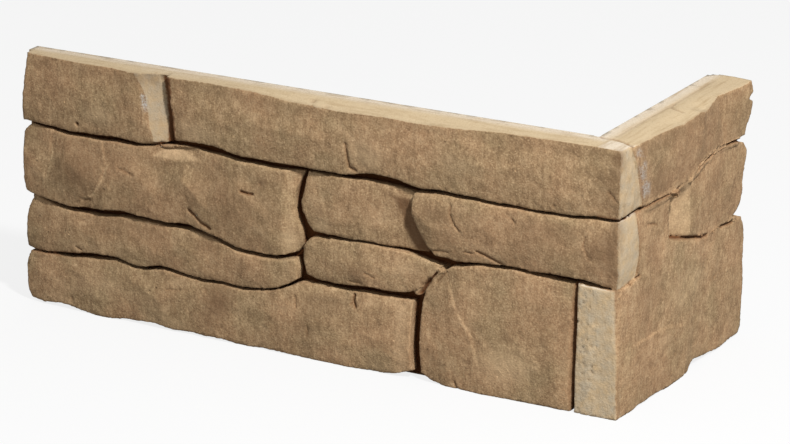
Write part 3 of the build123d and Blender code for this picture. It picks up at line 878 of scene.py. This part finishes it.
@dataclass
class CastCorner:
    """The corner piece itself, cast fine from its solid and broken on its split faces.

    Sizes are in millimetres. The stone faces lie that far out of the wall planes, and no joint is looked
    for nearer to them than wall_free. A point within the skin of a flat side belongs to it. The backs, beds
    and plain ends keep only a share of the relief. The height map of the faces has cells of one width, and
    the gains are what the outline gets back.
    """

    body: str = "root"
    voxel: float = 0.5
    triangles: int = 192_000
    smoothing: int = 2
    long_face: float = 18.0
    short_face: float = 24.0
    backing: float = 8.0
    wall_free: float = 7.5
    skin: float = 0.7
    top_skin: float = 1.6
    back_relief: float = 0.06
    bed_relief: float = 0.3
    end_relief: float = 0.25
    cell: float = 0.8
    unknown: float = -1000.0
    aged_from: tuple[float, float] = (3.0, 10.0)
    end_gain: float = 2.4
    foot_gain: float = 1.76
    arris: float = 5.0
    relief: Relief = field(default_factory=Relief)
    stone: StainedCastStone = field(default_factory=StainedCastStone)
    box: tuple[Vector, Vector] = field(init=False)

    def __post_init__(self) -> None:
        """Read the solid's box."""
        self.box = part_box(NODE)

    def build(self, solid: bpy.types.Object) -> bpy.types.Object:
        """Build the finished piece.

        Args:
            solid: The CAD node.

        Returns:
            The dressed piece, which rides on the root and replaces the node.
        """
        piece = self.cast(solid)
        self.mark_regions(piece)
        self.carve(piece)
        piece = self.break_faces(piece)
        piece = self.thin(piece)
        self.keep_inside(piece)
        piece.data.shade_smooth()
        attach(piece, self.body)
        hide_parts(NODE)
        return piece

    def applied(self, piece: bpy.types.Object) -> bpy.types.Object:
        """Turn a piece and its modifiers into a plain mesh.

        Args:
            piece: The object with modifiers.

        Returns:
            The same object with the evaluated mesh and no modifier.
        """
        seen = piece.evaluated_get(bpy.context.evaluated_depsgraph_get())
        mesh = bpy.data.meshes.new_from_object(seen)
        old = piece.data
        piece.modifiers.clear()
        piece.data = mesh
        bpy.data.meshes.remove(old)
        return piece

    def cast(self, solid: bpy.types.Object) -> bpy.types.Object:
        """Cast an even fine mesh from the solid.

        Args:
            solid: The CAD node, whose loose triangles are merged in a copy.

        Returns:
            The fine mesh.
        """
        piece = placed("cast_stone_corner", solid.data.copy())
        piece.data.materials.clear()
        weld = piece.modifiers.new("weld", "WELD")
        weld.merge_threshold = 0.002 * MM
        remesh = piece.modifiers.new("cast", "REMESH")
        remesh.mode = "VOXEL"
        remesh.voxel_size = self.voxel * MM
        soften = piece.modifiers.new("soften", "SMOOTH")
        soften.factor = 0.5
        soften.iterations = self.smoothing
        return self.applied(piece)

    def read(self, piece: bpy.types.Object) -> tuple[np.ndarray, np.ndarray]:
        """Read the places of a mesh's points in millimetres, and its normals."""
        mesh = piece.data
        places = np.empty(len(mesh.vertices) * 3, np.float32)
        mesh.vertices.foreach_get("co", places)
        normals = np.empty(len(mesh.vertices) * 3, np.float32)
        mesh.vertex_normals.foreach_get("vector", normals)
        return places.reshape(-1, 3).astype(float) / MM, normals.reshape(-1, 3).astype(float)

    def write(self, piece: bpy.types.Object, places: np.ndarray) -> None:
        """Write the places of a mesh's points, given in millimetres."""
        piece.data.vertices.foreach_set("co", (places * MM).astype(np.float32).ravel())
        piece.data.update()

    def mark(self, piece: bpy.types.Object, name: str, values: np.ndarray) -> None:
        """Store one number a point on the mesh."""
        attribute = piece.data.attributes.new(name, "FLOAT", "POINT")
        attribute.data.foreach_set("value", values.astype(np.float32))

    def mark_regions(self, piece: bpy.types.Object) -> None:
        """Store which points are split, stained, smeared with mortar, toned with stain and painted light and shade, or
        down in a joint.

        Args:
            piece: The fine mesh, before it is broken.
        """
        places, normals = self.read(piece)
        up = places[:, 2]
        outs = {side: side.out(places) for side in Side}
        top = self.box[1].z / MM
        skin = self.skin
        behind = (outs[LONG] < self.backing) & (outs[SHORT] < self.backing)
        flat = (up > top - skin) | (up < skin)
        flat |= (outs[LONG] < skin) & (places[:, 0] < skin) & (normals[:, 1] > 0.5)
        flat |= (outs[SHORT] < skin) & (places[:, 1] > -skin) & (normals[:, 0] < -0.5)
        backs = flat & (up < top - skin)
        split = np.where(backs, self.back_relief, np.where(flat, self.bed_relief, 1.0))
        self.mark(piece, "split", split * np.where(behind, self.end_relief, 1.0))

        level = smooth_step(*LEVEL, normals[:, 2]) * (up > top - self.top_skin)
        bare = np.maximum(level, np.where((flat & (up < top / 2)) | backs | behind, 1.0, 0.0))
        bare = np.maximum(bare, self.covered(places, normals, BARE_PATCHES))
        self.mark(piece, "stain", 1.0 - bare)
        self.mark(piece, "mortar", self.covered(places, normals, MORTAR_SMEARS))
        self.mark(piece, "tone", self.covered(places, normals, TONES_AND_PAINTED_LIGHT))
        front = outs[LONG] * (places[:, 0] < self.backing)
        front = np.maximum(front, outs[SHORT] * (places[:, 1] > -self.backing / 2))
        self.mark(piece, "aged", smooth_step(*self.aged_from, front) * (up > top - self.top_skin))

        joint = np.zeros(len(places))
        between = (up < top - skin) & (up > skin)
        for side, (corner, floor, rim) in JOINT_RANGE.items():
            on_leg = between & ((places[:, 0] < corner) if side is LONG else (places[:, 1] > corner))
            on_leg &= outs[side] > self.wall_free
            hidden = smooth_step(*JOINT_DEPTH, self.depth(side, places)) * smooth_step(rim, floor, outs[side])
            joint = np.maximum(joint, np.where(on_leg, hidden, 0.0))
        groove = (places[:, 0] > read_off(GROOVE_EDGE, up)) & (places[:, 0] < GROOVE_END) & (up > GROOVE_FOOT)
        groove &= (outs[LONG] > self.backing) & (outs[LONG] < GROOVE_RIM) & (normals[:, 2] < STEEP)
        # The painted shadow between the second course's short stones takes a share of the joint colour
        joint = np.maximum(joint, self.covered(places, normals, PAINTED_SHADOW_IN_JOINT_COLOUR))
        joint = np.where(groove & between, GROOVE_DARKNESS, joint)
        free_ends = (places[:, 0] < FREE_ENDS[0]) | (places[:, 1] > FREE_ENDS[1])
        joint *= np.where(free_ends, END_DARKNESS, 1.0) * (1.0 - self.webbed(places))
        joint *= np.where(groove, 1.0, 1.0 - self.covered(places, normals, BARE_PATCHES[:1]))
        self.mark(piece, "joint", joint)

    def covered(self, places: np.ndarray, normals: np.ndarray, patches: tuple[Patch, ...]) -> np.ndarray:
        """How far each point is covered by patches.

        Args:
            places: The mesh's points.
            normals: Their normals.
            patches: The patches, which add up.

        Returns:
            Shares from -1 to 1.
        """
        cover = np.zeros(len(places))
        for patch in patches:
            near = (patch.side.facing(normals) > FACING_PATCHES) & (patch.side.out(places) > patch.least_out)
            plane = patch.side.drawn(places[near])
            edge, _ = line_distance(plane, patch.outline + patch.outline[:1])
            signed = np.where(inside(plane, patch.outline), edge, -edge)
            share = smooth_step(-patch.soft_edge, patch.soft_edge, signed) * patch.strength
            cover[near] += share
        return np.clip(cover, -1.0, 1.0)

    def depth(self, side: Side, places: np.ndarray, reach: int = 4, ease: int = 0) -> np.ndarray:
        """How far each point lies below the stone faces around it.

        Args:
            side: The side that is looked at.
            places: The mesh's points.
            reach: How many cells of the height map around count.
            ease: Over how many cells around the faces' height is evened out.

        Returns:
            Depths in millimetres.
        """
        drawn = side.drawn(places)
        column, row = ((drawn - drawn.min(axis=0)) / self.cell).astype(int).T
        heights = np.full((column.max() + 1, row.max() + 1), self.unknown)
        np.maximum.at(heights, (column, row), side.out(places))
        for axis in (0, 1):
            widest = heights.copy()
            for shift in range(1, reach + 1):
                for rolled in (np.roll(heights, shift, axis), np.roll(heights, -shift, axis)):
                    widest = np.maximum(widest, rolled)
            heights = widest
        known = (heights > self.unknown).astype(float)
        heights = heights * known
        for axis in (0, 1):
            turns = range(-ease, ease + 1)
            heights = sum(np.roll(heights, turn, axis) for turn in turns)
            known = sum(np.roll(known, turn, axis) for turn in turns)
        return (heights / np.maximum(known, 1.0))[column, row] - side.out(places)

    def carve(self, piece: bpy.types.Object) -> None:
        """Cut the cracks, scars, ledges and pits that the faces show, and let the top's arris fall.

        Args:
            piece: The fine mesh.
        """
        places, normals = self.read(piece)
        sunk = np.zeros(len(places))
        dark = np.zeros(len(places))
        for side in Side:
            near = side.facing(normals) > FACING_MARKS
            plane = side.drawn(places[near])
            cut = np.zeros(len(plane))
            for crack in (c for c in CRACKS if c.side is side):
                distance, _ = line_distance(plane, crack.line)
                share = bell(distance, crack.width)
                cut += crack.depth * share
                dark[near] = np.maximum(dark[near], share * crack.darkness)
            for scar in (m for m in SCARS if m.side is side):
                distance, hand = line_distance(plane, scar.line)
                cut += np.where(hand < 0, scar.drop * np.exp(-distance / scar.reach), 0.0)
            for pit in (p for p in PITS + scattered_pits() if p.side is side):
                distance = np.hypot(plane[:, 0] - pit.along, plane[:, 1] - pit.up)
                share = bell(distance, pit.radius)
                cut += pit.depth * share
                dark[near] = np.maximum(dark[near], share * PIT_DARKNESS * pit.depth)
            for ledge in (b for b in LEDGES if b.side is side):
                along, up, height = zip(*ledge.line)
                above = plane[:, 1] - np.interp(plane[:, 0], along, up)
                bevel = np.clip(above, 0.0, np.interp(plane[:, 0], along, height)) * ledge.lean
                cut += bevel * smooth_step(*ledge.end, plane[:, 1])
            sunk[near] = np.maximum(sunk[near], cut)
        opened = self.open_joints(places, dark)
        self.mark(piece, "crack", np.clip(dark, 0.0, 1.0))
        split = np.empty(len(places), np.float32)
        piece.data.attributes["split"].data.foreach_get("value", split)
        split *= 1 - CALM_IN_CRACKS * np.clip(dark, 0.0, 1.0)
        piece.data.attributes["split"].data.foreach_set("value", split)
        places = self.lower_top(self.set_flank(opened - normals * sunk[:, None]))
        places = self.round_corner(self.line_up(places))
        self.write(piece, self.regain(places))

    def open_joints(self, places: np.ndarray, dark: np.ndarray) -> np.ndarray:
        """Close the joints that the mould left nearly closed, and cut the narrow ones to an even width.

        Args:
            places: The mesh's points.
            dark: How dark each point is stained, which is raised in the narrow joints.

        Returns:
            The points, with those in the narrow joints moved in.
        """
        opened = self.widen(self.close_joints(places))
        for joint in NARROW_JOINTS:
            distance, _ = line_distance(joint.side.drawn(opened), joint.line)
            near = (distance < NARROW_REACH) & (joint.side.out(opened) > self.backing)
            share = bell(distance[near], joint.width)
            cut = np.clip(joint.depth * share - self.depth(joint.side, opened[near]), 0.0, None)
            joint.side.sink(opened, near, cut)
            dark[near] = np.maximum(dark[near], share * joint.darkness)
        return opened

    def widen(self, places: np.ndarray) -> np.ndarray:
        """Widen the upright joint left of the second course's short stone, where its neighbour bulges."""
        widened = places.copy()
        along, _, up = places.T
        outside = LONG.out(places) > self.backing + 1.0
        widened[:, 0] -= read_off(WIDER_BY, up) * outside * read_off(WIDER_ALONG, along)
        return widened

    def line_up(self, places: np.ndarray) -> np.ndarray:
        """Move the joints of the long side to where they show.

        Args:
            places: The mesh's points.

        Returns:
            The points, moved along and up around each joint.
        """
        near = (LONG.out(places) > MOVING_OUT[0]) & (places[:, 0] < MOVING_END)
        front = smooth_step(*MOVING_OUT, LONG.out(places[near]))
        plane = LONG.drawn(places[near])
        total = np.zeros(len(plane))
        offset = np.zeros((len(plane), 2))
        for nudge in NUDGES:
            distance, _ = line_distance(plane, nudge.line)
            share = bell(distance, nudge.reach)
            total += share
            offset += share[:, None] * (nudge.along, nudge.up)
        offset *= (front / np.maximum(total, 1.0))[:, None]
        moved = places.copy()
        moved[near, 0] += offset[:, 0]
        moved[near, 2] += offset[:, 1]
        return moved

    def close_joints(self, places: np.ndarray) -> np.ndarray:
        """Fill the joints that the mould left nearly closed.

        Args:
            places: The mesh's points.

        Returns:
            The points, with those in the webs raised to a crease's depth.
        """
        raised = places.copy()
        for web in WEBS:
            distance, _ = line_distance(web.side.drawn(places), web.line)
            near = (distance < web.reach + 5.0) & (web.side.out(places) > self.backing)
            lift = np.clip(self.depth(web.side, places[near], reach=6, ease=3) - web.depth, 0.0, None)
            lift *= smooth_step(web.reach, web.reach - web.fade, distance[near])
            web.side.sink(raised, near, -lift)
        return raised

    def webbed(self, places: np.ndarray) -> np.ndarray:
        """How far each point belongs to a joint that the mould left nearly closed."""
        share = np.zeros(len(places))
        for web in WEBS:
            distance, _ = line_distance(web.side.drawn(places), web.line)
            within = smooth_step(web.reach + 0.4, web.reach - 0.8, distance)
            share = np.maximum(share, within * (web.side.out(places) > self.backing))
        return share

    def set_flank(self, places: np.ndarray) -> np.ndarray:
        """Make the groove beside the top left stone shallower, and lean the next stone's end over it.

        Args:
            places: The mesh's points.

        Returns:
            The points, moved round the groove.
        """
        moved = places.copy()
        x, y, z = places.T
        above, left, right = GROOVE_ZONE
        zone = smooth_step(*above, z) * smooth_step(*left, x) * smooth_step(*right, x) * (y < -self.backing)
        kept = read_off(GROOVE_KEPT, z)
        moved[:, 1] = np.where(y > -self.long_face, y + (y + self.long_face) * (kept - 1) * zone, y)
        moved[:, 0] -= read_off(GROOVE_LEAN, z) * zone * read_off(LEAN_ALONG, x)
        return moved

    def regain(self, places: np.ndarray) -> np.ndarray:
        """Give the free ends and the lower edge back what casting and breaking take off.

        Args:
            places: The mesh's points.

        Returns:
            The points, moved outward at the piece's outline.
        """
        grown = places.copy()
        low, high = (np.array(corner) / MM for corner in self.box)
        along, across, up = places.T
        long_end, short_end = low[0] + END_DEPTH, high[1] - END_DEPTH
        grown[:, 0] -= self.end_gain * smooth_step(long_end + END_EASE[0], long_end, along)
        grown[:, 1] += self.end_gain * smooth_step(short_end - END_EASE[1], short_end, across) * (along > 2)
        front = np.maximum(LONG.out(places), SHORT.out(places))
        grown[:, 2] -= self.foot_gain * smooth_step(*FOOT_HEIGHT, up) * smooth_step(*FOOT_OUT, front)
        return grown

    def lower_top(self, places: np.ndarray) -> np.ndarray:
        """Let the top fall towards its front arris where it does on the photographed piece.

        Args:
            places: The mesh's points.

        Returns:
            The points, with those near the top's front lowered.
        """
        lowered = places.copy()
        top = self.box[1].z / MM
        for side, face in ((LONG, self.long_face), (SHORT, self.short_face)):
            along = places[:, side.value[0]]
            fall = read_off(TOP_FALL[side], along)
            share = smooth_step(face - FALL_BEHIND, face + FALL_BEFORE, side.out(places))
            share *= smooth_step(top - FALL_BELOW, top, places[:, 2])
            share *= smooth_step(*FALL_END, along) if side is LONG else 1.0
            lowered[:, 2] -= fall * share
        return lowered

    def round_corner(self, places: np.ndarray) -> np.ndarray:
        """Round the upright arris of the big corner stone.

        Args:
            places: The mesh's points.

        Returns:
            The points, of which those beyond the arris are drawn back to it.
        """
        low = smooth_step(*ARRIS_TOP, places[:, 2])
        share, short_wave, long_wave = ARRIS_WAVER
        waver = 1.0 + share * np.sin(places[:, 2] / short_wave) * np.sin(places[:, 2] / long_wave)
        reach = self.arris * low * waver
        short_plane, long_plane = ARRIS_PLANES
        past_short = np.maximum(places[:, 0] - (short_plane - reach), 0.0)
        past_long = np.maximum(-places[:, 1] - (long_plane - reach), 0.0)
        span = np.hypot(past_short, past_long)
        share = np.where((span > reach) & (past_short > 0) & (past_long > 0), reach / np.maximum(span, 1e-6), 1.0)
        rounded = places.copy()
        rounded[:, 0] -= past_short * (1 - share)
        rounded[:, 1] += past_long * (1 - share)
        return rounded

    def break_faces(self, piece: bpy.types.Object) -> bpy.types.Object:
        """Break the split faces with the relief tree.

        Args:
            piece: The carved mesh with its split attribute.

        Returns:
            The broken mesh.
        """
        tree = self.relief.build_tree()
        modifier = piece.modifiers.new("relief", "NODES")
        modifier.node_group = tree
        sockets = {item.name: item.identifier for item in tree.interface.items_tree if item.in_out == "INPUT"}
        for name, value in self.relief.inputs().items():
            modifier[sockets[name]] = value
        modifier[sockets["Stone"]] = self.stone.build()
        return self.applied(piece)

    def thin(self, piece: bpy.types.Object) -> bpy.types.Object:
        """Thin the mesh where it is flat, to its limit of triangles.

        Args:
            piece: The broken mesh.

        Returns:
            The thinned mesh.
        """
        count = sum(len(face.vertices) - 2 for face in piece.data.polygons)
        if count > self.triangles:
            thinner = piece.modifiers.new("thin", "DECIMATE")
            thinner.ratio = self.triangles / count
            piece = self.applied(piece)
        return piece

    def keep_inside(self, piece: bpy.types.Object) -> None:
        """Hold every point inside the solid's box."""
        places, _ = self.read(piece)
        low, high = (np.array(corner) / MM for corner in self.box)
        self.write(piece, np.clip(places, low, high))


@dataclass
class Studio:
    """Floor, lamps and camera. The camera stands where the photograph was taken from."""

    frame_width: int = 790
    focal_pixels: float = 3500.0
    place: tuple[float, float, float] = (771.04, -1582.77, 686.03)
    azimuth: float = 29.47
    elevation: float = 18.37
    roll: float = 0.06
    sensor: float = 36.0
    floor_size: float = 14.0
    sky: float = 0.56
    key_power: float = 36.0
    key_distance: float = 1.5
    key_size: float = 0.16
    key_azimuth: float = 53.6
    key_elevation: float = 48.5
    key_aim: tuple[float, float, float] = (0.0, -0.02, 0.1)
    floor_seen: float = 0.55
    floor_bounce: float = 0.26
    floor_glow: float = 0.82

    def direction(self, azimuth: float, elevation: float) -> Vector:
        """Unit vector towards a bearing: azimuth 0 looks along +Y, and turns towards +X."""
        turn = math.radians(azimuth)
        rise = math.radians(elevation)
        return Vector((math.sin(turn) * math.cos(rise), -math.cos(turn) * math.cos(rise), math.sin(rise)))

    def build(self) -> None:
        """Build the floor, the lamps, the sky and the camera."""
        self.build_floor()
        self.build_light()
        self.build_camera()

    def build_floor(self) -> None:
        """Lay the pale floor, whose own colour fades the shadow for the camera."""
        half = self.floor_size / 2
        mesh = bpy.data.meshes.new("studio_floor")
        mesh.from_pydata([(-half, -half, 0), (half, -half, 0), (half, half, 0), (-half, half, 0)], [], [(0, 1, 2, 3)])
        floor = placed("studio_floor", mesh)
        material = bpy.data.materials.new("matt_white_sweep")
        material.use_nodes = True
        tree = material.node_tree
        tree.nodes.clear()
        seen = add_node(tree, "ShaderNodeLightPath").outputs["Is Camera Ray"]
        shades = {"Value": seen, "To Min": self.floor_bounce, "To Max": self.floor_seen}
        grey = add_node(tree, "ShaderNodeMapRange", None, shades).outputs[0]
        paper = add_node(tree, "ShaderNodeBsdfDiffuse", None, {"Color": grey})
        glow = add_node(tree, "ShaderNodeEmission", None, {"Color": (1, 1, 1, 1), "Strength": 1.0})
        share = maths(tree, "MULTIPLY", seen, self.floor_glow)
        mixed = add_node(tree, "ShaderNodeMixShader", None, {0: share, 1: paper.outputs[0], 2: glow.outputs[0]})
        add_node(tree, "ShaderNodeOutputMaterial", None, {"Surface": mixed.outputs[0]})
        mesh.materials.append(material)

    def build_light(self) -> None:
        """Light the piece from the upper right with one soft lamp and an even sky."""
        lamp = bpy.data.lights.new("key", "AREA")
        lamp.shape = "DISK"
        lamp.size = self.key_size
        lamp.energy = self.key_power
        key = placed("key", lamp)
        bearing = self.direction(self.key_azimuth, self.key_elevation)
        key.location = Vector(self.key_aim) + bearing * self.key_distance
        key.rotation_euler = bearing.to_track_quat("Z", "Y").to_euler()
        world = bpy.data.worlds.new("studio")
        bpy.context.scene.world = world
        world.use_nodes = True
        tree = world.node_tree
        tree.nodes.clear()
        seen = add_node(tree, "ShaderNodeLightPath").outputs["Is Camera Ray"]
        levels = {"Value": seen, "To Min": self.sky, "To Max": 1.0}
        strength = add_node(tree, "ShaderNodeMapRange", None, levels).outputs[0]
        sky = add_node(tree, "ShaderNodeBackground", None, {"Color": (1, 1, 1, 1), "Strength": strength})
        add_node(tree, "ShaderNodeOutputWorld", None, {"Surface": sky.outputs[0]})

    def build_camera(self) -> None:
        """Set the camera at the photograph's place and angle."""
        back = self.direction(self.azimuth, self.elevation)
        turn = math.radians(self.azimuth)
        right = Vector((math.cos(turn), math.sin(turn), 0.0))
        up = back.cross(right)
        roll = math.radians(self.roll)
        rolled_right = right * math.cos(roll) + up * math.sin(roll)
        rolled_up = up * math.cos(roll) - right * math.sin(roll)
        data = bpy.data.cameras.new("photo_view")
        data.sensor_width = self.sensor
        data.lens = self.focal_pixels / self.frame_width * self.sensor
        camera = placed("photo_view", data)
        turned = Matrix((rolled_right, rolled_up, back)).transposed().to_4x4()
        camera.matrix_world = Matrix.Translation(Vector(self.place) * MM) @ turned
        bpy.context.scene.camera = camera


def main() -> None:
    """Build the studio and the piece."""
    logging.basicConfig(level=logging.INFO, format="%(message)s")
    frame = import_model()
    bpy.context.scene.view_settings.view_transform = "Standard"
    Studio().build()
    piece = CastCorner().build(frame["nodes"][NODE])
    LOG.info("%s: %d faces", piece.name, len(piece.data.polygons))
    bpy.context.view_layer.update()


if __name__ == "__main__":
    main()
